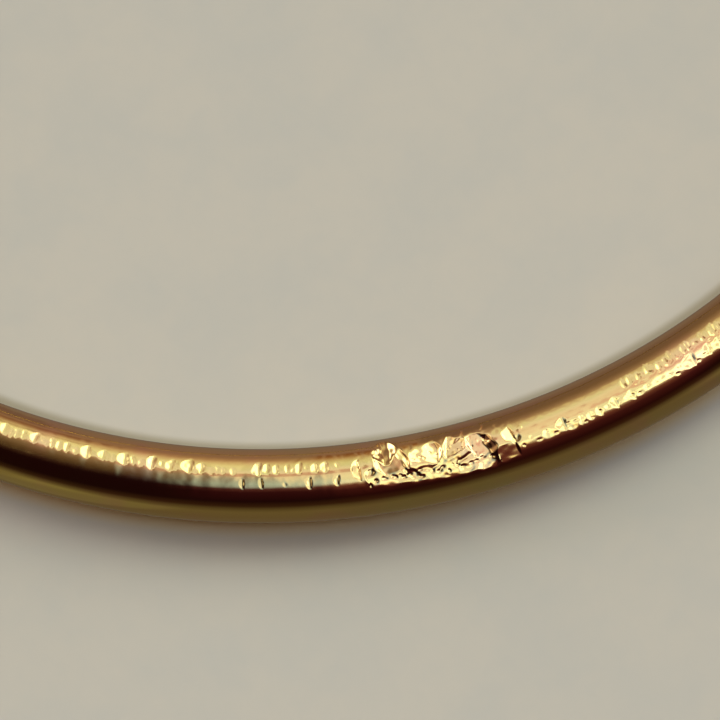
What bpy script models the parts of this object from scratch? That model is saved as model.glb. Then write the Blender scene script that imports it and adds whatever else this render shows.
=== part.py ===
"""A hoop drop earring that lies on its side: a round-wire hoop in the eye of a plain ear hook.

Metres, +Z up, +Y from the hoop to the hook. The origin is the centre of the footprint. The
hoop's near side rests on the surface and its far side rests in the hook's eye, so the hoop
leans a little. Angles round the hoop are measured from its near side (-Y) towards +X.
"""
import math
from typing import NamedTuple

import bmesh
import bpy
from mathutils import Matrix, Vector

# The hoop: one closed ring of round wire
HOOP_OUTER_DIAMETER = 0.032
HOOP_WIRE_DIAMETER = 0.0015
HOOP_STEPS = 144
HOOP_SIDES = 16

# The struck patch, a shallow flat on the wire's upper face
PATCH_ANGLE = math.radians(5.2)
PATCH_LENGTH = 0.0028
PATCH_DEPTH = 0.00008
PATCH_LEAN = math.radians(3.0)

# The worn flat beyond the notch
WORN_ANGLE = math.radians(16.2)
WORN_LENGTH = 0.0019
WORN_DEPTH = 0.00003
WORN_LEAN = math.radians(0.0)

# The V-shaped notch at the patch's end
NOTCH_ANGLE = math.radians(10.4)
NOTCH_DEPTH = 0.00012
NOTCH_MOUTH = 0.00034
NOTCH_LEAN = math.radians(20.0)
NOTCH_SLANT = math.radians(-8.0)

# A cutter reaches past the wire by this much
CUTTER_REACH = 0.002

# The ear hook: one wire, with an eye that stands round the hoop's wire
HOOK_WIRE_DIAMETER = 0.0008
HOOK_BEVEL_RESOLUTION = 4
HOOK_SIDES = 12
EYE_INNER_DIAMETER = 0.0026
EYE_SWEEP = math.radians(300.0)
EYE_STEPS = 40
SHANK_LENGTH = 0.012
BEND_RADIUS = 0.004
TAIL_LENGTH = 0.0065
FLARE_RADIUS = 0.008
FLARE_ANGLE = math.radians(14.0)
TIP_LENGTH = 0.0025
ARC_STEP = math.radians(7.5)

# The room between the hoop's wire and the eye that carries it
RESTING_GAP = 0.0001

HOOP_WIRE_RADIUS = HOOP_WIRE_DIAMETER / 2
HOOP_RADIUS = HOOP_OUTER_DIAMETER / 2 - HOOP_WIRE_RADIUS
HOOK_WIRE_RADIUS = HOOK_WIRE_DIAMETER / 2
EYE_RADIUS = EYE_INNER_DIAMETER / 2 + HOOK_WIRE_RADIUS

# Half the turn of one side of the hook's wire brings a flat side down, onto the surface
HOOK_SIDE_TILT = math.pi / HOOK_SIDES
HOOK_HEIGHT = HOOK_WIRE_RADIUS * math.cos(HOOK_SIDE_TILT)

# The hoop's far side is lifted by the hook's wire below it
EYE_CENTRE_HEIGHT = HOOK_HEIGHT + EYE_RADIUS
HOOP_FAR_HEIGHT = EYE_CENTRE_HEIGHT - EYE_INNER_DIAMETER / 2 + RESTING_GAP + HOOP_WIRE_RADIUS
HOOP_TILT = math.asin((HOOP_FAR_HEIGHT - HOOP_WIRE_RADIUS) / (2 * HOOP_RADIUS))
EYE_CENTRE_Y = HOOP_RADIUS * math.cos(HOOP_TILT)


class Move(NamedTuple):
    """One stretch of the hook's wire: a straight run, or an arc that turns right by an angle."""

    length: float = 0.0
    radius: float = 0.0
    turn: float = 0.0


# From the eye's lowest point: up the shank, round the bend, down the tail and out to its tip
HOOK_MOVES = (
    Move(length=SHANK_LENGTH),
    Move(radius=BEND_RADIUS, turn=math.pi),
    Move(length=TAIL_LENGTH),
    Move(radius=FLARE_RADIUS, turn=-FLARE_ANGLE),
    Move(length=TIP_LENGTH),
)


def clear_scene():
    """Remove the objects that the file starts with."""
    for item in list(bpy.data.objects):
        bpy.data.objects.remove(item, do_unlink=True)


def new_collection(name):
    """Make a collection in the scene."""
    collection = bpy.data.collections.new(name)
    bpy.context.scene.collection.children.link(collection)
    return collection


def move_to(item, collection):
    """Take an object out of its collections and put it in this one."""
    for owner in list(item.users_collection):
        owner.objects.unlink(item)
    collection.objects.link(item)


def gold(name, colour, roughness):
    """Make a gold with this colour and roughness."""
    material = bpy.data.materials.new(name)
    material.use_nodes = True
    shader = material.node_tree.nodes["Principled BSDF"]
    shader.inputs["Base Color"].default_value = (*colour, 1.0)
    shader.inputs["Metallic"].default_value = 1.0
    shader.inputs["Roughness"].default_value = roughness
    return material


def wire_frame(angle, lean):
    """Give the frame on the hoop's wire: x along it, z out of its face, leaning outwards."""
    along = Vector((math.cos(angle), math.sin(angle), 0.0))
    outward = Vector((math.sin(angle), -math.cos(angle), 0.0))
    face = outward * math.sin(lean) + Vector((0.0, 0.0, math.cos(lean)))
    across = face.cross(along)
    frame = Matrix((along, across, face)).transposed().to_4x4()
    frame.translation = outward * HOOP_RADIUS
    return frame


def add_cutter(name, mesh, hoop, frame, collection):
    """Place a cutter on the hoop and cut it away with a Boolean."""
    cutter = bpy.data.objects.new(name, mesh)
    collection.objects.link(cutter)
    cutter.parent = hoop
    cutter.matrix_local = frame
    cutter.display_type = "WIRE"
    cutter.hide_render = True
    cut = hoop.modifiers.new(name, "BOOLEAN")
    cut.operation = "DIFFERENCE"
    cut.solver = "EXACT"
    cut.object = cutter


def flat_cutter_mesh(name, length, depth):
    """Make a box whose lower face cuts a flat of this depth into the wire."""
    mesh = bpy.data.meshes.new(name)
    shape = bmesh.new()
    size = Matrix.Diagonal((length, CUTTER_REACH, CUTTER_REACH, 1.0))
    lift = Matrix.Translation((0.0, 0.0, HOOP_WIRE_RADIUS - depth + CUTTER_REACH / 2))
    bmesh.ops.create_cube(shape, size=1.0, matrix=lift @ size)
    shape.to_mesh(mesh)
    shape.free()
    return mesh


def notch_cutter_mesh(name):
    """Make a three-sided prism across the wire, with one edge down in the notch."""
    mesh = bpy.data.meshes.new(name)
    shape = bmesh.new()
    radius = CUTTER_REACH / 2
    half_mouth_per_depth = (NOTCH_MOUTH / 2) / NOTCH_DEPTH
    widen = half_mouth_per_depth / math.tan(math.radians(30.0))
    point_down = Matrix.Rotation(math.radians(90.0), 4, "X")
    point_down = Matrix.Rotation(math.pi, 4, "Y") @ point_down
    stretch = Matrix.Diagonal((widen, 1.0, 1.0, 1.0))
    lift = Matrix.Translation((0.0, 0.0, HOOP_WIRE_RADIUS - NOTCH_DEPTH + radius))
    turn = Matrix.Rotation(NOTCH_SLANT, 4, "Z")
    bmesh.ops.create_cone(
        shape,
        cap_ends=True,
        segments=3,
        radius1=radius,
        radius2=radius,
        depth=CUTTER_REACH,
        matrix=lift @ turn @ stretch @ point_down,
    )
    bmesh.ops.recalc_face_normals(shape, faces=shape.faces)
    shape.to_mesh(mesh)
    shape.free()
    return mesh


def build_hoop(parts, cutters):
    """Build the leaning hoop with its struck patch, worn flat and notch."""
    bpy.ops.mesh.primitive_torus_add(
        major_radius=HOOP_RADIUS,
        minor_radius=HOOP_WIRE_RADIUS,
        major_segments=HOOP_STEPS,
        minor_segments=HOOP_SIDES,
    )
    hoop = bpy.context.active_object
    hoop.name = "hoop"
    hoop.data.name = "hoop"
    move_to(hoop, parts)
    hoop.rotation_euler.x = HOOP_TILT
    hoop.location.z = (HOOP_WIRE_RADIUS + HOOP_FAR_HEIGHT) / 2
    hoop.data.materials.append(gold("polished_gold", (0.86, 0.64, 0.30), 0.18))
    hoop.data.shade_smooth()
    hoop.data.set_sharp_from_angle(angle=math.radians(35.0))

    patch = flat_cutter_mesh("patch_cutter", PATCH_LENGTH, PATCH_DEPTH)
    add_cutter("patch_cutter", patch, hoop, wire_frame(PATCH_ANGLE, PATCH_LEAN), cutters)
    worn = flat_cutter_mesh("worn_flat_cutter", WORN_LENGTH, WORN_DEPTH)
    add_cutter("worn_flat_cutter", worn, hoop, wire_frame(WORN_ANGLE, WORN_LEAN), cutters)
    notch = notch_cutter_mesh("notch_cutter")
    add_cutter("notch_cutter", notch, hoop, wire_frame(NOTCH_ANGLE, NOTCH_LEAN), cutters)
    return hoop


def lying_route():
    """Work out the flat part of the hook's route, from the eye's lowest point to the tip."""
    place = Vector((0.0, EYE_CENTRE_Y, HOOK_HEIGHT))
    heading = Vector((0.0, 1.0, 0.0))
    points = [place.copy()]
    for move in HOOK_MOVES:
        if move.length:
            place = place + heading * move.length
            points.append(place.copy())
            continue
        right = Vector((heading.y, -heading.x, 0.0)) * math.copysign(1.0, move.turn)
        centre = place + right * move.radius
        steps = max(2, round(abs(move.turn) / ARC_STEP))
        for step in range(1, steps + 1):
            spin = Matrix.Rotation(-move.turn * step / steps, 3, "Z")
            points.append(centre + spin @ (place - centre))
        place = points[-1].copy()
        heading = Matrix.Rotation(-move.turn, 3, "Z") @ heading
    return points


def eye_route():
    """Work out the eye, up round the hoop's wire and down towards the shank, without its start."""
    centre = Vector((0.0, EYE_CENTRE_Y, EYE_CENTRE_HEIGHT))
    points = []
    for step in range(1, EYE_STEPS + 1):
        turn = EYE_SWEEP * step / EYE_STEPS
        points.append(centre - EYE_RADIUS * Vector((0.0, math.sin(turn), math.cos(turn))))
    return points


def build_ear_hook(parts):
    """Build the ear hook as one wire along its route."""
    route = list(reversed(lying_route())) + eye_route()
    curve = bpy.data.curves.new("ear_hook", "CURVE")
    curve.dimensions = "3D"
    curve.twist_mode = "MINIMUM"
    curve.bevel_depth = HOOK_WIRE_RADIUS
    curve.bevel_resolution = HOOK_BEVEL_RESOLUTION
    curve.use_fill_caps = True
    spline = curve.splines.new("POLY")
    spline.points.add(len(route) - 1)
    for point, place in zip(spline.points, route):
        point.co = (*place, 1.0)
        point.tilt = HOOK_SIDE_TILT
    spline.use_smooth = True
    hook = bpy.data.objects.new("ear_hook", curve)
    parts.objects.link(hook)
    curve.materials.append(gold("ear_wire_gold", (0.86, 0.64, 0.30), 0.2))
    return hook


def footprint_centre(items):
    """Measure the centre of the footprint of these objects."""
    bpy.context.view_layer.update()
    graph = bpy.context.evaluated_depsgraph_get()
    corners = []
    for item in items:
        shown = item.evaluated_get(graph)
        mesh = shown.to_mesh()
        corners.extend(shown.matrix_world @ vertex.co for vertex in mesh.vertices)
        shown.to_mesh_clear()
    xs = [corner.x for corner in corners]
    ys = [corner.y for corner in corners]
    return Vector(((min(xs) + max(xs)) / 2, (min(ys) + max(ys)) / 2, 0.0))


def main():
    """Build the earring and centre it on its footprint."""
    clear_scene()
    parts = new_collection("hoop_drop_earring")
    cutters = new_collection("cutters")
    earring = bpy.data.objects.new("earring", None)
    parts.objects.link(earring)
    hoop = build_hoop(parts, cutters)
    hook = build_ear_hook(parts)
    hoop.parent = earring
    hook.parent = earring
    earring.location = -footprint_centre([hoop, hook])


main()
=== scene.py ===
"""The looks of a gold hoop drop earring that lies on its side on a pale surface.

Sizes are in millimetres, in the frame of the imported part. Angles are in degrees where the
name ends in deg, and in radians elsewhere. A place on the hoop is given by its angle round
the hoop, from the near side (-Y) towards +X, and by its lean round the wire, from the wire's
top outwards.
"""

import logging
import math
from dataclasses import dataclass
from enum import Enum
from typing import Any, NamedTuple, Sequence, Union

import bpy
import numpy as np
from mathutils import Matrix, Vector


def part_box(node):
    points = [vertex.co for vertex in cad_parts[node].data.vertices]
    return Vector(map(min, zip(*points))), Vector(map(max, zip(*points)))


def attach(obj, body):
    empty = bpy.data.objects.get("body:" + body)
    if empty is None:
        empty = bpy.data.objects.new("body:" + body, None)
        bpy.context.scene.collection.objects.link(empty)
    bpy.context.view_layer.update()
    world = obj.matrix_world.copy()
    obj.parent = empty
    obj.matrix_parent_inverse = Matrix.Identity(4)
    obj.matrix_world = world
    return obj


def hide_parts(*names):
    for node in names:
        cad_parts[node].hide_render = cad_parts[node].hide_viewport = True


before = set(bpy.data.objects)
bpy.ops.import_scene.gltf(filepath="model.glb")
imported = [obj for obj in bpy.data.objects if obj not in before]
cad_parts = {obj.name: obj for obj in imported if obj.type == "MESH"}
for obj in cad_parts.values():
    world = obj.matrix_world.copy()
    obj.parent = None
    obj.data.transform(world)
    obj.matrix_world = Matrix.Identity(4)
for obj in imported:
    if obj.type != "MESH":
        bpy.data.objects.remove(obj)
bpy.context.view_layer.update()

PHOTO_WIDTH = 720
SENSOR_WIDTH = 36.0
MILLIMETRE = 0.001
FULL_TURN_DEG = 360.0

Colour = tuple[float, float, float]
Range = tuple[float, float]
Links = Union["Value", float, Sequence[float]]
Tint = Union["Value", Colour]


class Operation(Enum):
    """The Math node's operations that the expressions use."""

    PLUS = "ADD"
    MINUS = "SUBTRACT"
    TIMES = "MULTIPLY"
    OVER = "DIVIDE"
    LARGER = "MAXIMUM"
    ANGLE = "ARCTAN2"
    SIZE = "ABSOLUTE"


class Draws(Enum):
    """What each set of random draws is for, with its seed."""

    PITS = 12
    WARP_ALONG = 13
    WARP_ASIDE = 14
    CRUMPLE = 15
    WAVES = 16
    BEADS = 42


class Noise(NamedTuple):
    """A noise: its cells to the metre and its detail."""

    cells: float
    detail: float


class Value:
    """One output of a node, with the usual operators for numbers."""

    def __init__(self, bench: "Bench", socket: Any) -> None:
        """Keep the socket and the bench that it is on."""
        self.bench = bench
        self.socket = socket

    def _math(self, operation: Operation, first: Links, second: Links = 0.0) -> "Value":
        """Add a Math node for one operation on two numbers or links."""
        settings = {"operation": operation.value}
        return self.bench.add("ShaderNodeMath", settings, {0: first, 1: second})

    def __add__(self, other: Links) -> "Value":
        """Add."""
        return self._math(Operation.PLUS, self, other)

    __radd__ = __add__

    def __mul__(self, other: Links) -> "Value":
        """Multiply."""
        return self._math(Operation.TIMES, self, other)

    __rmul__ = __mul__

    def __sub__(self, other: Links) -> "Value":
        """Subtract."""
        return self._math(Operation.MINUS, self, other)

    def __rsub__(self, other: Links) -> "Value":
        """Subtract from a number."""
        return self._math(Operation.MINUS, other, self)

    def __truediv__(self, other: Links) -> "Value":
        """Divide."""
        return self._math(Operation.OVER, self, other)

    def __rtruediv__(self, other: Links) -> "Value":
        """Divide a number."""
        return self._math(Operation.OVER, other, self)

    def at_least(self, lowest: float) -> "Value":
        """Lift what is below the lowest to it."""
        return self._math(Operation.LARGER, self, lowest)

    def direction(self, other: "Value") -> "Value":
        """Give the angle whose sine is in this value and whose cosine is in the other."""
        return self._math(Operation.ANGLE, self, other)

    def size(self) -> "Value":
        """Drop the sign."""
        return self._math(Operation.SIZE, self)

    def step(self, low: float, high: float) -> "Value":
        """Rise smoothly from 0 at low to 1 at high."""
        settings = {"interpolation_type": "SMOOTHSTEP"}
        return self.bench.add("ShaderNodeMapRange", settings, {0: self, 1: low, 2: high})


class Stop(NamedTuple):
    """A place on a ramp, or a turn in degrees in the room's tables, and its colour."""

    place: float
    colour: Colour


class Bench:
    """A node tree to which nodes are added one call at a time."""

    def __init__(self, tree: bpy.types.NodeTree) -> None:
        """Keep the tree."""
        self.tree = tree

    def add(self, kind: str, settings: dict[str, Any], links: dict, output: Any = 0) -> Value:
        """Add a node.

        Args:
            kind: the node's type.
            settings: its properties, set first. "stops" are a ramp's places and colours.
            links: a value or a link for each input, by name or index.
            output: the output to give back, by name or index.

        Returns:
            The chosen output.
        """
        node = self.tree.nodes.new(kind)
        for name, setting in settings.items():
            if name == "stops":
                self._set_stops(node.color_ramp, setting)
            else:
                setattr(node, name, setting)
        for name, link in links.items():
            if isinstance(link, Value):
                self.tree.links.new(link.socket, node.inputs[name])
            else:
                node.inputs[name].default_value = link
        return Value(self, node.outputs[output])

    def _set_stops(self, ramp: bpy.types.ColorRamp, stops: Sequence[Stop]) -> None:
        """Set the places and colours of a ramp.

        Args:
            ramp: the ramp, with at most as many stops as are set.
            stops: its stops, from 0 to 1.
        """
        while len(ramp.elements) < len(stops):
            ramp.elements.new(1.0)
        for element, stop in zip(ramp.elements, stops):
            element.position = stop.place
            element.color = (*stop.colour, 1.0)

    def mix(self, factor: Links, first: Tint, second: Tint) -> Value:
        """Mix two colours.

        Args:
            factor: how much of the second there is.
            first: the colour or link at 0.
            second: the colour or link at 1.

        Returns:
            The mixed colour.
        """
        settings = {"data_type": "RGBA", "clamp_factor": True}
        links = {0: factor, 6: self._opaque(first), 7: self._opaque(second)}
        return self.add("ShaderNodeMix", settings, links, 2)

    def _opaque(self, colour: Tint) -> Links:
        """Give a plain colour its alpha, and leave a link as it is."""
        return colour if isinstance(colour, Value) else (*colour, 1.0)

    def noise(self, place: Value, noise: Noise) -> Value:
        """Give a noise from 0 to 1."""
        links = {"Vector": place, "Scale": noise.cells, "Detail": noise.detail}
        return self.add("ShaderNodeTexNoise", {}, links)

    def stretched(self, place: Value, scale: Sequence[float]) -> Value:
        """Scale a place by three factors."""
        links = {0: place, 1: tuple(scale)}
        return self.add("ShaderNodeVectorMath", {"operation": "MULTIPLY"}, links)

    def place(self) -> Value:
        """Give the object's own coordinates."""
        return self.add("ShaderNodeTexCoord", {}, {}, "Object")


@dataclass(frozen=True)
class GoldFinish:
    """A polished yellow gold with rosy and greenish tints, fine grain and light scratches."""

    name: str
    colour: Colour = (0.90, 0.66, 0.30)
    rosy: Colour = (0.93, 0.58, 0.36)
    rosy_noise: Noise = Noise(900.0, 2.0)
    rosy_range: Range = (0.52, 0.70)
    greenish: Colour = (0.80, 0.69, 0.30)
    greenish_noise: Noise = Noise(640.0, 3.0)
    greenish_range: Range = (0.55, 0.74)
    tint: float = 0.6
    roughness: float = 0.09
    roughness_spread: float = 0.05
    worn_noise: Noise = Noise(2600.0, 4.0)
    grain: float = 0.25
    grain_height: float = 0.0012
    pit_noise: Noise = Noise(9000.0, 3.0)
    pit_share: float = 0.6
    scratch_noise: Noise = Noise(26000.0, 2.0)
    scratch_stretch: tuple[float, float, float] = (0.08, 1.0, 1.0)

    def build(self) -> bpy.types.Material:
        """Build the material.

        Returns:
            The material.
        """
        material = bpy.data.materials.new(self.name)
        material.use_nodes = True
        tree = material.node_tree
        bench = Bench(tree)
        shader = tree.nodes["Principled BSDF"]
        place = bench.place()
        rosy = bench.noise(place, self.rosy_noise).step(*self.rosy_range)
        greenish = bench.noise(place, self.greenish_noise).step(*self.greenish_range)
        tinted = bench.mix(rosy * self.tint, self.colour, self.rosy)
        tinted = bench.mix(greenish * self.tint, tinted, self.greenish)
        worn = bench.noise(place, self.worn_noise)
        roughness = worn * self.roughness_spread + (self.roughness - self.roughness_spread / 2)
        pits = bench.noise(place, self.pit_noise)
        scratch = bench.noise(bench.stretched(place, self.scratch_stretch), self.scratch_noise)
        height = pits * self.pit_share + scratch * (1.0 - self.pit_share)
        reach = self.grain_height * MILLIMETRE
        bump_links = {"Strength": self.grain, "Distance": reach, "Height": height}
        bump = bench.add("ShaderNodeBump", {}, bump_links)
        tree.links.new(tinted.socket, shader.inputs["Base Color"])
        tree.links.new(roughness.socket, shader.inputs["Roughness"])
        tree.links.new(bump.socket, shader.inputs["Normal"])
        shader.inputs["Metallic"].default_value = 1.0
        return material


@dataclass(frozen=True)
class TableColourAndPaintedShade:
    """A pale, warm, matt table top with faint blotches, with painted shade and a painted warm
    bounce from the gold at the wire's foot.

    The painted shade lies inside and the painted bounce outside the hoop's near half, and their
    reaches are measured from the middle of the wire.
    """

    name: str = "pale_table"
    colour: Colour = (0.65, 0.61, 0.595)
    blotch: Colour = (0.61, 0.588, 0.59)
    broad_noise: Noise = Noise(450.0, 3.0)
    broad_range: Range = (0.35, 0.68)
    broad_share: float = 0.7
    fine_noise: Noise = Noise(2200.0, 2.0)
    fine_range: Range = (0.3, 0.75)
    # Painted contact shade inside the hoop and painted warm light bounced from the gold outside
    # it.
    painted_contact_shade: Colour = (0.405, 0.365, 0.305)
    painted_gold_bounce: Colour = (0.91, 0.745, 0.525)
    painted_shade_start: float = 0.50
    painted_shade_near: float = 1.10
    painted_shade_far: float = 1.30
    painted_bounce_near: float = 0.50
    painted_bounce_far: float = 0.88
    near_share: float = 0.7
    roughness: float = 0.7

    def build(self, hoop: "Hoop") -> bpy.types.Material:
        """Build the material, with its painted shade and painted bounce round the hoop's foot.

        Args:
            hoop: the hoop that lies on the table.

        Returns:
            The material.
        """
        material = bpy.data.materials.new(self.name)
        material.use_nodes = True
        tree = material.node_tree
        bench = Bench(tree)
        shader = tree.nodes["Principled BSDF"]
        place = bench.place()
        broad = bench.noise(place, self.broad_noise).step(*self.broad_range)
        fine = bench.noise(place, self.fine_noise).step(*self.fine_range)
        blotches = broad * self.broad_share + fine * (1.0 - self.broad_share)
        colour = bench.mix(blotches, self.colour, self.blotch)
        centre = (hoop.centre[0] * MILLIMETRE, hoop.centre[1] * MILLIMETRE, 0.0)
        settings = {"operation": "DISTANCE"}
        off = bench.add("ShaderNodeVectorMath", settings, {0: place, 1: centre}, "Value")
        off = off / MILLIMETRE - hoop.radius
        across = bench.add("ShaderNodeSeparateXYZ", {}, {0: place}, "Y") / MILLIMETRE
        nearest = hoop.centre[1] - hoop.radius * self.near_share
        near = 1.0 - across.step(nearest, hoop.centre[1])
        beyond = off.step(-self.painted_shade_far, -self.painted_shade_near)
        inner = beyond * (1.0 - off.step(-self.painted_shade_start, 0.0))
        outer = off.step(0.0, self.painted_bounce_near) * (1.0 - off.step(self.painted_bounce_near, self.painted_bounce_far))
        # Paint the shade at the wire's foot inside the hoop and the gold's warm bounce light
        # outside it, on the near half only.
        colour = bench.mix(inner * near, colour, self.painted_contact_shade)
        colour = bench.mix(outer * near, colour, self.painted_gold_bounce)
        tree.links.new(colour.socket, shader.inputs["Base Color"])
        shader.inputs["Roughness"].default_value = self.roughness
        return material


class Band(NamedTuple):
    """A band of the mesh, in degrees: where it starts and the step between its points."""

    start_deg: float
    step_deg: float


class Window(NamedTuple):
    """A span with a soft edge inside each of its ends."""

    start: float
    end: float
    start_edge: float
    end_edge: float

    def inside(self, place: np.ndarray) -> np.ndarray:
        """Give 1 between the edges, falling smoothly to 0 at both ends.

        Args:
            place: the places, in the span's own unit.

        Returns:
            The share at each place.
        """
        rise = np.clip((place - self.start) / self.start_edge, 0, 1)
        rise = rise * np.clip((self.end - place) / self.end_edge, 0, 1)
        return rise * rise * (3 - 2 * rise)


class Flat(NamedTuple):
    """A flat on the wire, with its ends, lean, depths and the widths of its edges.

    The slant is how far its ends move along the wire for each millimetre outwards.
    """

    start_deg: float
    end_deg: float
    lean_deg: float
    start_depth: float
    end_depth: float
    start_edge: float
    end_edge: float
    slant: float


class Dent(NamedTuple):
    """A smooth dent or, with a negative depth, a swelling."""

    angle_deg: float
    lean_deg: float
    length: float
    width: float
    depth: float
    twist_deg: float


class Pits(NamedTuple):
    """A row of small pits along the wire, with their number and mean sizes."""

    start_deg: float
    end_deg: float
    lean_deg: float
    count: int
    length: float
    width: float
    depth: float


class Bead(NamedTuple):
    """A small flat that faces a little towards +X, given by its middle's place.

    The pitch is how much it deepens for each millimetre along the wire, and the end edge is
    how wide the wall at its deeper end is.
    """

    angle_deg: float
    lean_deg: float
    depth: float
    pitch: float
    length: float
    end_edge: float = 0.065


class BeadRow(NamedTuple):
    """A row of small beads along the wire, with their number and mean sizes.

    The scatter is how far each may lie from the row's lean.
    """

    start_deg: float
    end_deg: float
    lean_deg: float
    count: int
    depth: float
    pitch: float
    length: float
    scatter_deg: float


class Waves(NamedTuple):
    """A band of fine waviness: its shortest and longest wave, its height and its number.

    The spread is how far the waves may run from the wire's own direction.
    """

    shortest: float
    longest: float
    height: float
    count: int
    spread_deg: float


@dataclass
class Hoop:
    """The round-wire hoop, with its struck patch, worn flat, notch, beads and fine waviness.

    The mesh is finest where the photograph shows the hoop. The flats, dents and larger beads are
    listed one by one, and the pits, rows of beads and waves are drawn at random. The surface is
    sunk by the margin and cut back to the round wire where it still stands out.
    """

    wire_radius: float = 0.75
    along: tuple[Band, ...] = (
        Band(-31.0, 0.13),
        Band(-10.5, 0.09),
        Band(-1.0, 0.06),
        Band(13.0, 0.13),
        Band(31.0, 2.0),
    )
    round_wire: tuple[Band, ...] = (
        Band(-90.0, 4.0),
        Band(-42.0, 1.2),
        Band(50.0, 4.0),
        Band(90.0, 12.0),
    )
    flats: tuple[Flat, ...] = (
        Flat(-0.75, -0.05, 4.0, 0.010, 0.036, 0.04, 0.02, 0.0),
        Flat(0.90, 3.05, -20.0, 0.090, 0.090, 0.24, 0.24, 0.0),
        Flat(1.00, 3.40, 4.0, 0.050, 0.040, 0.12, 0.08, 0.3),
        Flat(2.75, 3.60, -4.0, 0.028, 0.050, 0.08, 0.05, 0.3),
        Flat(3.60, 6.25, -1.0, 0.010, 0.072, 0.05, 0.10, 0.0),
        Flat(6.20, 8.10, -3.0, 0.065, 0.020, 0.10, 0.10, -0.3),
        Flat(7.90, 10.4, 8.0, 0.075, 0.090, 0.16, 0.28, 0.25),
        Flat(0.05, 10.4, 20.0, 0.012, 0.066, 0.06, 0.28, 0.20),
        Flat(10.95, 11.75, 2.0, 0.002, 0.032, 0.03, 0.03, 0.2),
        Flat(9.9, 11.8, 26.0, 0.020, 0.020, 0.03, 0.10, 0.2),
    )
    dents: tuple[Dent, ...] = (
        Dent(0.66, 10.0, 0.12, 0.08, 0.022, 0.0),
        Dent(3.75, 21.0, 0.14, 0.07, 0.022, 35.0),
        Dent(5.05, 18.0, 0.26, 0.05, 0.009, -4.0),
        Dent(7.85, 17.0, 0.22, 0.05, 0.014, -23.0),
        Dent(7.60, -21.0, 0.12, 0.05, -0.018, -40.0),
        Dent(9.75, -5.0, 0.08, 0.06, 0.030, 20.0),
        Dent(9.36, -29.0, 0.07, 0.05, -0.016, 0.0),
        Dent(11.9, 12.0, 0.09, 0.08, 0.016, 0.0),
        Dent(12.4, -2.0, 0.06, 0.05, -0.006, 0.0),
        Dent(14.3, 21.0, 0.10, 0.07, 0.007, 0.0),
        Dent(16.1, 21.0, 0.12, 0.07, 0.007, 0.0),
    )
    pits: tuple[Pits, ...] = (
        Pits(0.4, 9.9, 26.0, 19, 0.036, 0.034, 0.012),
        Pits(0.3, 9.0, 20.0, 9, 0.028, 0.026, 0.006),
        Pits(3.9, 8.8, -3.0, 12, 0.030, 0.026, 0.005),
        Pits(12.2, 30.0, 20.0, 30, 0.040, 0.028, 0.006),
        Pits(21.5, 30.0, 4.0, 15, 0.046, 0.034, 0.005),
    )
    beads: tuple[Bead, ...] = (
        Bead(-27.56, -6.5, 0.009, 0.086, 0.16),
        Bead(-26.52, -4.5, 0.007, 0.086, 0.15),
        Bead(-24.98, -7.0, 0.010, 0.086, 0.17),
        Bead(-24.10, -4.0, 0.005, 0.086, 0.12),
        Bead(-22.55, -5.5, 0.008, 0.086, 0.17),
        Bead(-21.06, -6.5, 0.011, 0.086, 0.22),
        Bead(-19.69, -6.5, 0.010, 0.086, 0.15),
        Bead(-18.92, -4.5, 0.006, 0.086, 0.12),
        Bead(-18.02, -7.5, 0.012, 0.086, 0.18),
        Bead(-15.91, -8.5, 0.015, 0.088, 0.19),
        Bead(-14.50, -6.0, 0.012, 0.086, 0.19),
        Bead(-13.12, -8.0, 0.016, 0.090, 0.21),
        Bead(-12.19, -5.5, 0.010, 0.086, 0.21),
        Bead(-11.30, -3.0, 0.005, 0.086, 0.15),
        Bead(-10.50, -4.0, 0.005, 0.086, 0.15),
        Bead(-9.75, -3.0, 0.005, 0.086, 0.15),
        Bead(-7.83, -8.5, 0.014, 0.090, 0.19),
        Bead(-7.10, -8.0, 0.012, 0.088, 0.17),
        Bead(-6.42, -7.5, 0.011, 0.088, 0.15),
        Bead(-4.68, -8.0, 0.013, 0.090, 0.17),
        Bead(-3.51, -7.0, 0.011, 0.090, 0.17),
        Bead(-2.75, -6.5, 0.011, 0.090, 0.18),
        Bead(-9.00, 15.5, 0.006, 0.186, 0.11, 0.05),
        Bead(-7.62, 15.5, 0.007, 0.178, 0.12, 0.05),
        Bead(-5.73, 18.0, 0.003, 0.086, 0.13),
        Bead(-3.97, 16.5, 0.009, 0.162, 0.15, 0.05),
        Bead(-1.88, 15.5, 0.008, 0.155, 0.13, 0.05),
        Bead(15.41, 15.0, 0.014, 0.085, 0.20, 0.03),
        Bead(16.95, 19.0, 0.006, 0.086, 0.15),
        Bead(17.65, 18.5, 0.006, 0.086, 0.14),
        Bead(18.40, 19.0, 0.006, 0.086, 0.16),
        Bead(19.75, 16.5, 0.009, 0.086, 0.19),
        Bead(21.10, 17.5, 0.008, 0.086, 0.19),
        Bead(26.15, 17.5, 0.014, 0.086, 0.30),
        Bead(27.90, 17.5, 0.009, 0.086, 0.18),
        Bead(28.75, 17.5, 0.008, 0.086, 0.16),
    )
    bead_rows: tuple[BeadRow, ...] = (
        BeadRow(-31.0, -10.5, -5.0, 38, 0.006, 0.090, 0.110, 2.0),
        BeadRow(-8.2, -1.5, -6.0, 14, 0.005, 0.090, 0.090, 2.0),
        BeadRow(20.8, 31.0, -4.5, 25, 0.006, 0.120, 0.120, 2.0),
    )
    bead_edge: float = 0.03
    bead_shift: Range = (0.2, 0.8)
    bead_size: Range = (0.6, 1.4)
    pit_shift: Range = (0.15, 0.85)
    pit_size: Range = (0.6, 1.6)
    pit_scatter_deg: float = 5.0
    dent_power: float = 1.5
    softness: float = 0.15
    least_rounding: float = 0.00001
    least_cosine: float = 0.2
    warp: Waves = Waves(0.16, 0.50, 0.012, 40, 180.0)
    crumple: Waves = Waves(0.12, 0.30, 0.0006, 50, 180.0)
    crumple_along_deg: Window = Window(-0.6, 13.5, 0.8, 3.0)
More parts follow.
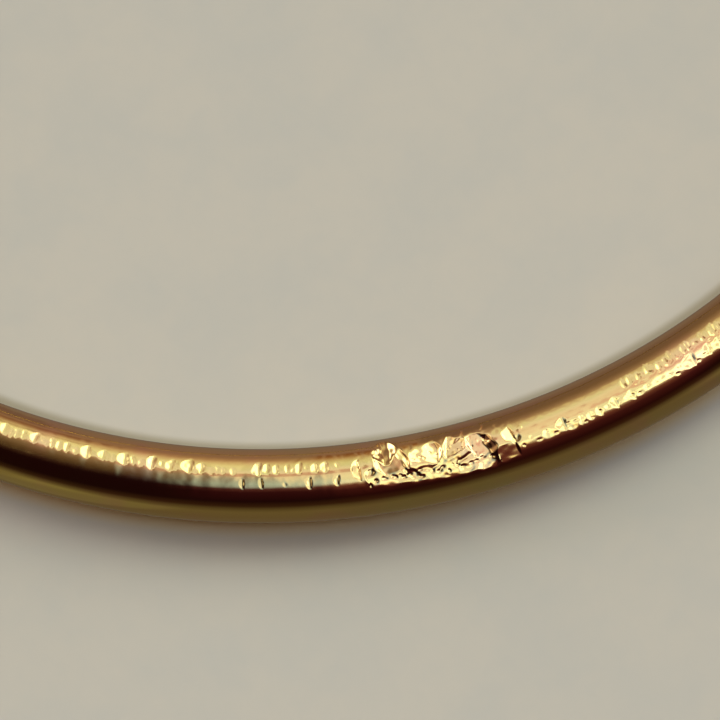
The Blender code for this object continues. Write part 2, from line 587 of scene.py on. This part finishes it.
    crumple_round_deg: Window = Window(-32.0, 44.0, 14.0, 12.0)
    waves: tuple[Waves, ...] = (
        Waves(0.10, 0.20, 0.0001, 60, 180.0),
        Waves(0.22, 0.50, 0.0003, 60, 8.0),
        Waves(0.60, 1.50, 0.0010, 40, 40.0),
    )
    wave_round_deg: Window = Window(-75.0, 55.0, 50.0, 50.0)
    margin: float = 0.003

    def __post_init__(self) -> None:
        """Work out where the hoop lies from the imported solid."""
        low, high = (np.array(corner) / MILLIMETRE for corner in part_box("hoop"))
        self.centre = (low + high) / 2
        self.radius = (high[0] - low[0]) / 2 - self.wire_radius
        rise = high[2] - low[2] - 2 * self.wire_radius
        self.tilt = math.asin(rise / (2 * self.radius))

    def _steps(self, bands: Sequence[Band]) -> np.ndarray:
        """List the mesh's places round a circle.

        Args:
            bands: the bands that fill the circle.

        Returns:
            The places, in radians.
        """
        ends = [band.start_deg for band in bands[1:]] + [bands[0].start_deg + FULL_TURN_DEG]
        places = [
            np.linspace(start, end, math.ceil((end - start) / step), endpoint=False)
            for (start, step), end in zip(bands, ends)
        ]
        return np.radians(np.concatenate(places))

    def _facet(self, bead: Bead) -> Flat:
        """Give a bead's flat, a little deeper at its end than at its start.

        Args:
            bead: the bead.

        Returns:
            The flat.
        """
        half = math.degrees(bead.length / 2 / self.radius)
        rise = bead.pitch * bead.length / 2
        start, end = bead.angle_deg - half, bead.angle_deg + half
        depths = (bead.depth - rise, bead.depth + rise)
        return Flat(start, end, bead.lean_deg, *depths, self.bead_edge, bead.end_edge, 0.0)

    def _scattered(self) -> list[Bead]:
        """Place the beads of the rows, each a little aside and of its own size.

        Returns:
            The beads of all rows.
        """
        draws = np.random.default_rng(Draws.BEADS.value)
        beads = []
        for row in self.bead_rows:
            step = (row.end_deg - row.start_deg) / row.count
            for count in range(row.count):
                angle = row.start_deg + step * (count + draws.uniform(*self.bead_shift))
                lean = row.lean_deg + draws.uniform(-row.scatter_deg, row.scatter_deg)
                size = draws.uniform(*self.bead_size)
                beads.append(Bead(angle, lean, row.depth * size, row.pitch, row.length * size))
        return beads

    def _planed(
        self, surface: np.ndarray, lean: np.ndarray, level: np.ndarray, rounding: np.ndarray
    ) -> np.ndarray:
        """Cut the surface down to a plane, with a softly rounded edge.

        Args:
            surface: the distance from the wire's centre line at each point.
            lean: each point's lean from the plane's own direction.
            level: the plane's distance from the centre line.
            rounding: how close the two come before the edge is rounded.

        Returns:
            The surface, cut where the plane is lower.
        """
        plane = level / np.maximum(np.cos(lean), self.least_cosine)
        share = np.clip(0.5 + (plane - surface) / (2 * rounding + self.least_rounding), 0, 1)
        return plane + (surface - plane) * share - rounding * share * (1 - share)

    def _flattened(self, surface: np.ndarray, along: np.ndarray, side: np.ndarray) -> np.ndarray:
        """Cut the flats and the beads.

        Args:
            surface: the distance from the wire's centre line at each point.
            along: each point's way round the hoop.
            side: each point's way round the wire.

        Returns:
            The surface with its flats.
        """
        for flat in (*self.flats, *map(self._facet, (*self.beads, *self._scattered()))):
            start = math.radians(flat.start_deg) * self.radius
            end = math.radians(flat.end_deg) * self.radius
            place = along - flat.slant * side
            inside = Window(start, end, flat.start_edge, flat.end_edge).inside(place)
            share = (place - start) / (end - start)
            depth = flat.start_depth + (flat.end_depth - flat.start_depth) * share
            level = self.wire_radius - depth * inside
            leaning = side / self.wire_radius - math.radians(flat.lean_deg)
            rounding = self.softness * max(flat.start_depth, flat.end_depth) * inside
            surface = self._planed(surface, leaning, level, rounding)
        return surface

    def _dented(self, surface: np.ndarray, along: np.ndarray, side: np.ndarray) -> np.ndarray:
        """Sink the dents and raise the swellings.

        Args:
            surface: the distance from the wire's centre line at each point.
            along: each point's way round the hoop.
            side: each point's way round the wire.

        Returns:
            The surface with its dents.
        """
        for dent in self.dents:
            off = along - math.radians(dent.angle_deg) * self.radius
            aside = side - math.radians(dent.lean_deg) * self.wire_radius
            cosine = math.cos(math.radians(dent.twist_deg))
            sine = math.sin(math.radians(dent.twist_deg))
            ahead = (off * cosine + aside * sine) / dent.length
            across = (aside * cosine - off * sine) / dent.width
            surface = surface - dent.depth * np.exp(-(ahead**2 + across**2) ** self.dent_power)
        return surface

    def _pitted(self, surface: np.ndarray, angle: np.ndarray, lean: np.ndarray) -> np.ndarray:
        """Sink the rows of pits.

        Args:
            surface: the distance from the wire's centre line at each point.
            angle: the angle round the hoop.
            lean: the lean round the wire.

        Returns:
            The surface with its pits.
        """
        draws = np.random.default_rng(Draws.PITS.value)
        for row in self.pits:
            for count in range(row.count):
                share = (count + draws.uniform(*self.pit_shift)) / row.count
                spot = math.radians(row.start_deg + (row.end_deg - row.start_deg) * share)
                scatter = draws.uniform(-self.pit_scatter_deg, self.pit_scatter_deg)
                tip = math.radians(row.lean_deg + scatter)
                length = row.length * draws.uniform(*self.pit_size)
                ahead = (angle - spot) * self.radius / length
                aside = (lean - tip) * self.wire_radius / row.width
                surface = surface - row.depth * np.exp(-(ahead**2 + aside**2))
        return surface

    def _waviness(self, band: Waves, angle: np.ndarray, lean: np.ndarray, seed: int) -> np.ndarray:
        """Add up whole waves round the hoop and the wire, so that they close on themselves.

        Args:
            band: the waves' lengths, height and number.
            angle: the angle round the hoop.
            lean: the lean round the wire.
            seed: the seed of the random draws.

        Returns:
            The height at each point.
        """
        draws = np.random.default_rng(seed)
        total = np.zeros(np.broadcast(angle, lean).shape)
        for _ in range(band.count):
            wave = draws.uniform(band.shortest, band.longest)
            heading = math.radians(draws.uniform(-band.spread_deg, band.spread_deg))
            shift = draws.uniform(0.0, 2 * math.pi)
            around = round(2 * math.pi * self.radius * math.cos(heading) / wave)
            across = round(2 * math.pi * self.wire_radius * math.sin(heading) / wave)
            total += np.cos(around * angle + across * lean + shift)
        return total * band.height / math.sqrt(band.count / 2)

    def _roughened(self, surface: np.ndarray, angle: np.ndarray, lean: np.ndarray) -> np.ndarray:
        """Crumple the struck patch and add the wire's own fine waves.

        Args:
            surface: the distance from the wire's centre line at each point.
            angle: the angle round the hoop.
            lean: the lean round the wire.

        Returns:
            The rough surface.
        """
        rough = self.crumple_along_deg.inside(np.degrees(angle))
        rough = rough * self.crumple_round_deg.inside(np.degrees(lean))
        crumple = self._waviness(self.crumple, angle, lean, Draws.CRUMPLE.value)
        surface = surface + rough * crumple
        calm = self.wave_round_deg.inside(np.degrees(lean))
        for order, band in enumerate(self.waves):
            waves = self._waviness(band, angle, lean, Draws.WAVES.value + order)
            surface = surface + calm * waves
        return surface

    def surface(self, angle: np.ndarray, lean: np.ndarray) -> np.ndarray:
        """Work out the distance from the wire's centre line to its surface.

        Args:
            angle: the angle round the hoop.
            lean: the lean round the wire.

        Returns:
            The distance at each point.
        """
        warp_along = self._waviness(self.warp, angle, lean, Draws.WARP_ALONG.value)
        warp_aside = self._waviness(self.warp, angle, lean, Draws.WARP_ASIDE.value)
        along = angle * self.radius + warp_along
        side = lean * self.wire_radius + warp_aside
        surface = np.full(along.shape, self.wire_radius)
        surface = self._flattened(surface, along, side)
        surface = self._dented(surface, along, side)
        surface = self._pitted(surface, angle, lean)
        surface = self._roughened(surface, angle, lean)
        return np.minimum(surface - self.margin, self.wire_radius)

    def build(self) -> bpy.types.Object:
        """Build the hoop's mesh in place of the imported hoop.

        Returns:
            The piece.
        """
        angles = self._steps(self.along)
        leans = self._steps(self.round_wire)
        angle = angles[:, None]
        lean = leans[None, :]
        reach = self.surface((angle + math.pi) % (2 * math.pi) - math.pi, lean)
        outward = self.radius + reach * np.sin(lean)
        height = reach * np.cos(lean)
        x = outward * np.sin(angle)
        y = -outward * np.cos(angle)
        turned_y = y * math.cos(self.tilt) - height * math.sin(self.tilt)
        turned_z = y * math.sin(self.tilt) + height * math.cos(self.tilt)
        points = np.stack((x, turned_y, turned_z), axis=-1) + self.centre
        rows, columns = x.shape
        first = np.arange(rows)[:, None] * columns + np.arange(columns)[None, :]
        beside = np.roll(first, -1, axis=1)
        ahead = np.roll(first, -1, axis=0)
        faces = np.stack((first, beside, np.roll(ahead, -1, axis=1), ahead), axis=-1)
        mesh = bpy.data.meshes.new("polished_hoop")
        mesh.from_pydata((points * MILLIMETRE).reshape(-1, 3), [], faces.reshape(-1, 4).tolist())
        mesh.shade_smooth()
        normals = np.cross(np.gradient(points, leans, axis=1), np.gradient(points, angles, axis=0))
        normals = normals / np.linalg.norm(normals, axis=-1, keepdims=True)
        mesh.normals_split_custom_set_from_vertices(normals.reshape(-1, 3).tolist())
        piece = bpy.data.objects.new("polished_hoop", mesh)
        bpy.context.scene.collection.objects.link(piece)
        mesh.materials.append(GoldFinish("hoop_gold").build())
        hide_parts("hoop")
        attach(piece, "root")
        return piece


class Stretch(NamedTuple):
    """A stretch of the hook's wire: its length, its bend's radius, 0 where straight, and side."""

    length: float
    radius: float
    side: float


class Station(NamedTuple):
    """A ring's middle and heading on the hook, and its share of the wire's radius."""

    place: Vector
    heading: Vector
    share: float


@dataclass
class EarHook:
    """The plain ear hook, one round wire whose eye stands round the hoop.

    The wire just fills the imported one, which has flat sides.
    """

    wire_size: float = 0.8
    packed_sides: int = 12
    eye_inner_radius: float = 1.3
    eye_sweep: float = math.radians(300.0)
    shank: float = 12.0
    bend_radius: float = 4.0
    tail: float = 6.5
    flare_radius: float = 8.0
    flare: float = math.radians(14.0)
    tip: float = 2.5
    step: float = 0.12
    sides: int = 28
    dome_rings: int = 8
    dome_start: float = 0.3
    grain: float = 0.2

    def __post_init__(self) -> None:
        """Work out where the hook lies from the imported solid."""
        low, high = (np.array(corner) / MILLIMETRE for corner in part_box("ear_hook"))
        self.wire_radius = self.wire_size / 2 * math.cos(math.pi / self.packed_sides)
        self.eye_radius = self.eye_inner_radius + self.wire_size / 2
        self.shank_x = low[0] + self.wire_radius
        top_of_bend = high[1] - self.wire_radius
        self.eye_y = top_of_bend - self.bend_radius - self.shank

    def _lying(self) -> list[Vector]:
        """Walk the flat part, from the eye's lowest point to the tail's tip.

        Returns:
            The places on the wire's middle.
        """
        place = Vector((self.shank_x, self.eye_y, self.wire_radius))
        heading = Vector((0.0, 1.0, 0.0))
        stretches = (
            Stretch(self.shank, 0.0, 0.0),
            Stretch(math.pi * self.bend_radius, self.bend_radius, -1.0),
            Stretch(self.tail, 0.0, 0.0),
            Stretch(self.flare * self.flare_radius, self.flare_radius, 1.0),
            Stretch(self.tip - self.wire_radius, 0.0, 0.0),
        )
        points = [place.copy()]
        for length, radius, side in stretches:
            steps = math.ceil(length / self.step)
            for _ in range(steps):
                stride = length / steps
                half = Matrix.Rotation(side * stride / radius / 2 if radius else 0.0, 3, "Z")
                chord = 2 * radius * math.sin(stride / radius / 2) if radius else stride
                heading = half @ heading
                place = place + heading * chord
                heading = half @ heading
                points.append(place.copy())
        return points

    def _eye(self) -> list[Vector]:
        """Walk the eye, up round the hoop's wire and down towards the shank.

        Returns:
            The places on the wire's middle.
        """
        centre = Vector((self.shank_x, self.eye_y, self.wire_radius + self.eye_radius))
        sweep = self.eye_sweep - self.wire_radius / self.eye_radius
        steps = math.ceil(sweep * self.eye_radius / self.step)
        turns = (sweep * count / steps for count in range(1, steps + 1))
        return [
            centre - self.eye_radius * Vector((0.0, math.sin(turn), math.cos(turn)))
            for turn in turns
        ]

    def _dome(self, place: Vector, heading: Vector, side: float) -> list[Station]:
        """List the stations of a rounded end, from its tip inwards.

        Args:
            place: the end of the wire's middle.
            heading: the wire's heading there.
            side: 1 where the dome lies ahead of the place and -1 where it lies behind.

        Returns:
            The stations.
        """
        stations = []
        for count in range(self.dome_rings):
            turn = math.pi / 2 * (1 - (count + self.dome_start) / self.dome_rings)
            off = heading * side * math.sin(turn) * self.wire_radius
            stations.append(Station(place + off, heading, math.cos(turn)))
        return stations

    def _rings(self, route: list[Vector]) -> list[list[Vector]]:
        """Place a ring of points round each step of the route, and domes at both ends.

        Args:
            route: the places on the wire's middle.

        Returns:
            The rings.
        """
        headings = []
        for index in range(len(route)):
            before = route[max(index - 1, 0)]
            after = route[min(index + 1, len(route) - 1)]
            headings.append((after - before).normalized())
        stations = self._dome(route[0], headings[0], -1.0)
        stations += [Station(place, heading, 1.0) for place, heading in zip(route, headings)]
        stations += reversed(self._dome(route[-1], headings[-1], 1.0))
        side = Vector((0.0, 0.0, 1.0))
        rings = []
        for place, heading, share in stations:
            side = (side - heading * side.dot(heading)).normalized()
            other = heading.cross(side)
            ring = []
            for count in range(self.sides):
                turn = 2 * math.pi * count / self.sides
                ray = side * math.cos(turn) + other * math.sin(turn)
                ring.append(place + ray * self.wire_radius * share)
            rings.append(ring)
        return rings

    def _faces(self, rows: int) -> list[tuple[int, ...]]:
        """Join the rings by four-sided faces and close both tips.

        Args:
            rows: the number of rings.

        Returns:
            The faces.
        """
        faces = []
        for row in range(rows - 1):
            for column in range(self.sides):
                first = row * self.sides + column
                second = row * self.sides + (column + 1) % self.sides
                faces.append((first, second, second + self.sides, first + self.sides))
        last = (rows - 1) * self.sides
        faces.append(tuple(reversed(range(self.sides))))
        faces.append(tuple(range(last, last + self.sides)))
        return faces

    def build(self) -> bpy.types.Object:
        """Build the hook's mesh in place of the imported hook.

        Returns:
            The piece.
        """
        rings = self._rings(list(reversed(self._lying())) + self._eye())
        points = [point * MILLIMETRE for ring in rings for point in ring]
        mesh = bpy.data.meshes.new("plain_ear_hook")
        mesh.from_pydata(points, [], self._faces(len(rings)))
        mesh.shade_smooth()
        piece = bpy.data.objects.new("plain_ear_hook", mesh)
        bpy.context.scene.collection.objects.link(piece)
        mesh.materials.append(GoldFinish("hook_gold", grain=self.grain).build())
        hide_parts("ear_hook")
        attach(piece, "root")
        # The photographed wire mirrors no hook.
        piece.visible_glossy = False
        return piece


@dataclass
class Table:
    """The pale surface that the earring lies on."""

    size: float = 3000.0

    def build(self, hoop: Hoop) -> bpy.types.Object:
        """Build the surface as one sheet.

        Args:
            hoop: the hoop that lies on it.

        Returns:
            The sheet.
        """
        half = self.size * MILLIMETRE / 2
        corners = ((-half, -half, 0.0), (half, -half, 0.0), (half, half, 0.0), (-half, half, 0.0))
        mesh = bpy.data.meshes.new("table")
        mesh.from_pydata(corners, [], [(0, 1, 2, 3)])
        mesh.materials.append(TableColourAndPaintedShade().build(hoop))
        table = bpy.data.objects.new("table", mesh)
        bpy.context.scene.collection.objects.link(table)
        # The room's lowest colours stand for the table in the gold's reflections.
        table.visible_glossy = False
        return table


class Glow(NamedTuple):
    """A lamp in the room or, with negative colours, a shadow.

    It has its place, half its width each way and what it adds to the room's colour.
    """

    turn_deg: float
    half_turn_deg: float
    side: float
    half_side: float
    colour: Colour


@dataclass
class Studio:
    """The soft room round the earring: bright overhead, dim beyond and dark on the near side.

    A direction is given by its turn, in degrees from the near horizon over the top to the far
    one, and by its side, the share of it that points to +X. Straight down is the lowest turn
    and straight up the zenith. The tables colour the turns at the left, in the middle and at
    the right, where the left one's dimmer colours follow again, and the numbers after them
    say between which sides each gives way to the next. Below the crossing, the change from
    left to middle moves to the left by a little for each degree.
    """

    left: tuple[Stop, ...] = (
        Stop(-90.0, (0.12, 0.10, 0.066)),
        Stop(-50.0, (0.145, 0.122, 0.068)),
        Stop(-22.0, (0.172, 0.155, 0.074)),
        Stop(-9.0, (0.10, 0.08, 0.04)),
        Stop(2.0, (0.035, 0.018, 0.01)),
        Stop(20.0, (0.010, 0.003, 0.003)),
        Stop(62.0, (0.010, 0.002, 0.003)),
        Stop(70.0, (0.030, 0.012, 0.010)),
        Stop(80.0, (0.080, 0.050, 0.030)),
        Stop(90.0, (0.145, 0.098, 0.065)),
        Stop(99.0, (0.23, 0.165, 0.12)),
        Stop(107.5, (0.35, 0.23, 0.165)),
        Stop(110.0, (0.50, 0.40, 0.29)),
        Stop(113.0, (0.88, 0.92, 0.85)),
        Stop(118.0, (0.82, 0.83, 0.74)),
        Stop(130.0, (0.56, 0.46, 0.37)),
        Stop(138.0, (0.38, 0.28, 0.21)),
        Stop(146.0, (0.27, 0.185, 0.14)),
        Stop(158.0, (0.185, 0.122, 0.088)),
        Stop(175.0, (0.165, 0.110, 0.092)),
        Stop(188.0, (0.180, 0.122, 0.115)),
        Stop(207.0, (0.205, 0.150, 0.135)),
        Stop(270.0, (0.12, 0.10, 0.066)),
    )
    middle: tuple[Stop, ...] = (
        Stop(-90.0, (0.12, 0.10, 0.066)),
        Stop(-50.0, (0.122, 0.100, 0.063)),
        Stop(-22.0, (0.130, 0.110, 0.060)),
        Stop(-9.0, (0.090, 0.072, 0.036)),
        Stop(2.0, (0.034, 0.016, 0.009)),
        Stop(20.0, (0.012, 0.003, 0.004)),
        Stop(50.0, (0.03, 0.005, 0.009)),
        Stop(61.0, (0.09, 0.027, 0.032)),
        Stop(67.5, (0.37, 0.49, 0.62)),
        Stop(74.5, (0.46, 0.65, 0.81)),
        Stop(94.0, (0.50, 0.57, 0.66)),
        Stop(101.0, (0.52, 0.44, 0.46)),
        Stop(105.0, (0.60, 0.44, 0.44)),
        Stop(109.0, (0.74, 0.69, 0.54)),
        Stop(130.0, (0.70, 0.65, 0.46)),
        Stop(142.0, (0.56, 0.44, 0.31)),
        Stop(151.0, (0.39, 0.27, 0.195)),
        Stop(162.0, (0.29, 0.185, 0.145)),
        Stop(180.0, (0.235, 0.155, 0.14)),
        Stop(207.0, (0.215, 0.155, 0.135)),
        Stop(270.0, (0.12, 0.10, 0.066)),
    )
    right: tuple[Stop, ...] = (
        Stop(-90.0, (0.12, 0.10, 0.066)),
        Stop(-50.0, (0.116, 0.098, 0.064)),
        Stop(-22.0, (0.118, 0.098, 0.058)),
        Stop(-9.0, (0.080, 0.061, 0.034)),
        Stop(2.0, (0.035, 0.015, 0.009)),
        Stop(20.0, (0.02, 0.004, 0.005)),
        Stop(44.0, (0.05, 0.010, 0.013)),
        Stop(57.0, (0.15, 0.05, 0.045)),
        Stop(61.5, (0.36, 0.26, 0.24)),
        Stop(65.0, (0.80, 0.86, 0.86)),
        Stop(69.0, (0.93, 1.08, 1.10)),
        Stop(76.0, (0.92, 0.98, 0.92)),
        Stop(87.0, (0.97, 1.00, 0.92)),
        Stop(97.0, (0.93, 0.90, 0.84)),
        Stop(104.0, (0.88, 0.80, 0.75)),
        Stop(115.0, (0.88, 0.90, 0.84)),
        Stop(123.0, (0.86, 0.93, 0.75)),
        Stop(131.0, (0.86, 0.90, 0.68)),
        Stop(138.0, (0.77, 0.75, 0.54)),
        Stop(146.0, (0.64, 0.53, 0.38)),
        Stop(154.0, (0.44, 0.30, 0.21)),
        Stop(163.0, (0.31, 0.20, 0.155)),
        Stop(172.0, (0.265, 0.17, 0.145)),
        Stop(186.0, (0.235, 0.16, 0.15)),
        Stop(207.0, (0.215, 0.155, 0.135)),
        Stop(270.0, (0.12, 0.10, 0.066)),
    )
    lowest_deg: float = -90.0
    zenith_deg: float = 90.0
    crossing_deg: float = 112.0
    side_per_deg: float = 0.0035
    left_end: float = -0.075
    middle_start: float = 0.055
    middle_end: float = -0.068
    right_start: float = -0.012
    right_end: float = 0.52
    dim_start: float = 0.68
    glows: tuple[Glow, ...] = (
        Glow(118.0, 16.0, 0.270, 0.125, (1.4, 1.7, 1.2)),
        Glow(126.0, 22.0, 0.470, 0.130, (1.4, 1.7, 1.2)),
        Glow(66.0, 6.0, 0.110, 0.080, (0.65, 0.65, 0.35)),
        Glow(71.5, 7.5, 0.440, 0.150, (1.1, 1.2, 0.9)),
        Glow(84.0, 9.0, 0.290, 0.050, (0.9, 1.0, 0.8)),
        Glow(128.0, 8.0, -0.112, 0.036, (0.13, 0.17, 0.09)),
        Glow(148.0, 14.0, 0.270, 0.090, (-0.13, -0.12, -0.09)),
        Glow(136.0, 7.0, 0.190, 0.055, (-0.16, -0.20, -0.16)),
        Glow(187.0, 20.0, 0.340, 0.110, (-0.05, -0.045, -0.035)),
        Glow(141.0, 25.0, 0.000, 0.022, (-0.12, -0.13, -0.13)),
        Glow(103.0, 5.0, -0.014, 0.026, (-0.22, -0.36, -0.33)),
        Glow(95.0, 6.5, 0.155, 0.050, (-0.12, -0.32, -0.27)),
        Glow(-45.0, 28.0, -0.450, 0.120, (0.035, 0.042, 0.018)),
        Glow(90.0, 13.0, -0.435, 0.090, (0.80, 0.75, 0.52)),
        Glow(114.0, 8.0, -0.310, 0.100, (0.55, 0.60, 0.35)),
        Glow(116.0, 8.0, 0.150, 0.045, (0.50, 0.60, 0.35)),
        Glow(120.0, 46.0, -0.750, 0.290, (0.46, 0.34, 0.22)),
        Glow(40.0, 50.0, -0.840, 0.170, (0.11, 0.065, 0.05)),
        Glow(146.0, 18.0, -0.780, 0.200, (2.6, 2.7, 2.7)),
        Glow(134.0, 26.0, 0.820, 0.180, (2.0, 2.1, 2.1)),
    )
    glow_edge: float = 0.2
    backdrop: Colour = (0.56, 0.52, 0.44)

    def _shade(self, bench: Bench, turn: Value, stops: Sequence[Stop]) -> Value:
        """Colour each turn by a table.

        Args:
            bench: the world's node tree.
            turn: the turn, in degrees.
            stops: the table, from straight down once round.

        Returns:
            The colour.
        """
        places = [
            Stop((degrees - self.lowest_deg) / FULL_TURN_DEG, colour) for degrees, colour in stops
        ]
        factor = (turn - self.lowest_deg) / FULL_TURN_DEG
        return bench.add("ShaderNodeValToRGB", {"stops": places}, {0: factor})

    def _lit(self, bench: Bench, shade: Value, turn: Value, side: Value, glow: Glow) -> Value:
        """Add a glow to the room.

        Args:
            bench: the world's node tree.
            shade: the room's colour so far.
            turn: the turn, in degrees.
            side: the side.
            glow: the glow.

        Returns:
            The room's colour with the glow.
        """
        inner = 1.0 - self.glow_edge
        outer = 1.0 + self.glow_edge
        off_turn = (turn - glow.turn_deg).size()
        off_side = (side - glow.side).size()
        over = off_turn.step(glow.half_turn_deg * inner, glow.half_turn_deg * outer)
        beside = off_side.step(glow.half_side * inner, glow.half_side * outer)
        links = {0: glow.colour, 3: (1.0 - over) * (1.0 - beside)}
        added = bench.add("ShaderNodeVectorMath", {"operation": "SCALE"}, links)
        return bench.add("ShaderNodeVectorMath", {"operation": "ADD"}, {0: shade, 1: added})

    def build(self) -> None:
        """Shade the room and make it the scene's world."""
        world = bpy.data.worlds.new("room")
        world.use_nodes = True
        bpy.context.scene.world = world
        bpy.context.scene.view_settings.view_transform = "Standard"
        bench = Bench(world.node_tree)
        heading = bench.add("ShaderNodeTexCoord", {}, {}, "Generated")
        side = bench.add("ShaderNodeSeparateXYZ", {}, {0: heading}, "X")
        far = bench.add("ShaderNodeSeparateXYZ", {}, {0: heading}, "Y")
        up = bench.add("ShaderNodeSeparateXYZ", {}, {0: heading}, "Z")
        turn = far.direction(up) * math.degrees(1.0) + self.zenith_deg
        left = self._shade(bench, turn, self.left)
        middle = self._shade(bench, turn, self.middle)
        right = self._shade(bench, turn, self.right)
        across = side + (self.crossing_deg - turn).at_least(0.0) * self.side_per_deg
        shade = bench.mix(across.step(self.left_end, self.middle_start), left, middle)
        shade = bench.mix(side.step(self.middle_end, self.right_start), shade, right)
        shade = bench.mix(side.step(self.right_end, self.dim_start), shade, left)
        for glow in self.glows:
            shade = self._lit(bench, shade, turn, side, glow)
        seen = bench.add("ShaderNodeLightPath", {}, {}, "Is Camera Ray")
        colour = bench.mix(seen, shade, self.backdrop)
        background = world.node_tree.nodes["Background"]
        world.node_tree.links.new(colour.socket, background.inputs["Color"])


@dataclass
class PhotoCamera:
    """The camera at the photograph's angle, by the place that it looks at.

    The place is measured from the middle of the hoop and, for its height, from the table.
    """

    look_x: float = 0.263
    look_y: float = -12.661
    look_height: float = 0.75
    elevation: float = math.radians(68.0)
    roll: float = math.radians(7.36)
    distance: float = 150.0
    pixels_per_mm: float = 49.33

    def build(self, hoop: Hoop) -> bpy.types.Object:
        """Build the camera and make it the scene's own.

        Args:
            hoop: the hoop, whose centre the place is measured from.

        Returns:
            The camera.
        """
        across, away, _ = hoop.centre
        target = Vector((across + self.look_x, away + self.look_y, self.look_height))
        back = Vector((0.0, -math.cos(self.elevation), math.sin(self.elevation)))
        right = Vector((1.0, 0.0, 0.0))
        up = back.cross(right)
        turned_right = right * math.cos(self.roll) - up * math.sin(self.roll)
        turned_up = right * math.sin(self.roll) + up * math.cos(self.roll)
        matrix = Matrix((turned_right, turned_up, back)).transposed().to_4x4()
        matrix.translation = (target + back * self.distance) * MILLIMETRE
        data = bpy.data.cameras.new("photo_camera")
        data.sensor_width = SENSOR_WIDTH
        data.lens = SENSOR_WIDTH * self.pixels_per_mm * self.distance / PHOTO_WIDTH
        data.clip_start = MILLIMETRE
        camera = bpy.data.objects.new("photo_camera", data)
        camera.matrix_world = matrix
        bpy.context.scene.collection.objects.link(camera)
        bpy.context.scene.camera = camera
        return camera


def main() -> None:
    """Build the earring, the table, the light and the camera in order."""
    logging.basicConfig(level=logging.INFO, format="%(message)s")
    log = logging.getLogger("earring")
    hoop = Hoop()
    piece = hoop.build()
    log.info("hoop: %d faces", len(piece.data.polygons))
    piece = EarHook().build()
    log.info("ear hook: %d faces", len(piece.data.polygons))
    Table().build(hoop)
    log.info("table")
    Studio().build()
    log.info("light")
    PhotoCamera().build(hoop)
    log.info("camera")


if __name__ == "__main__":
    main()
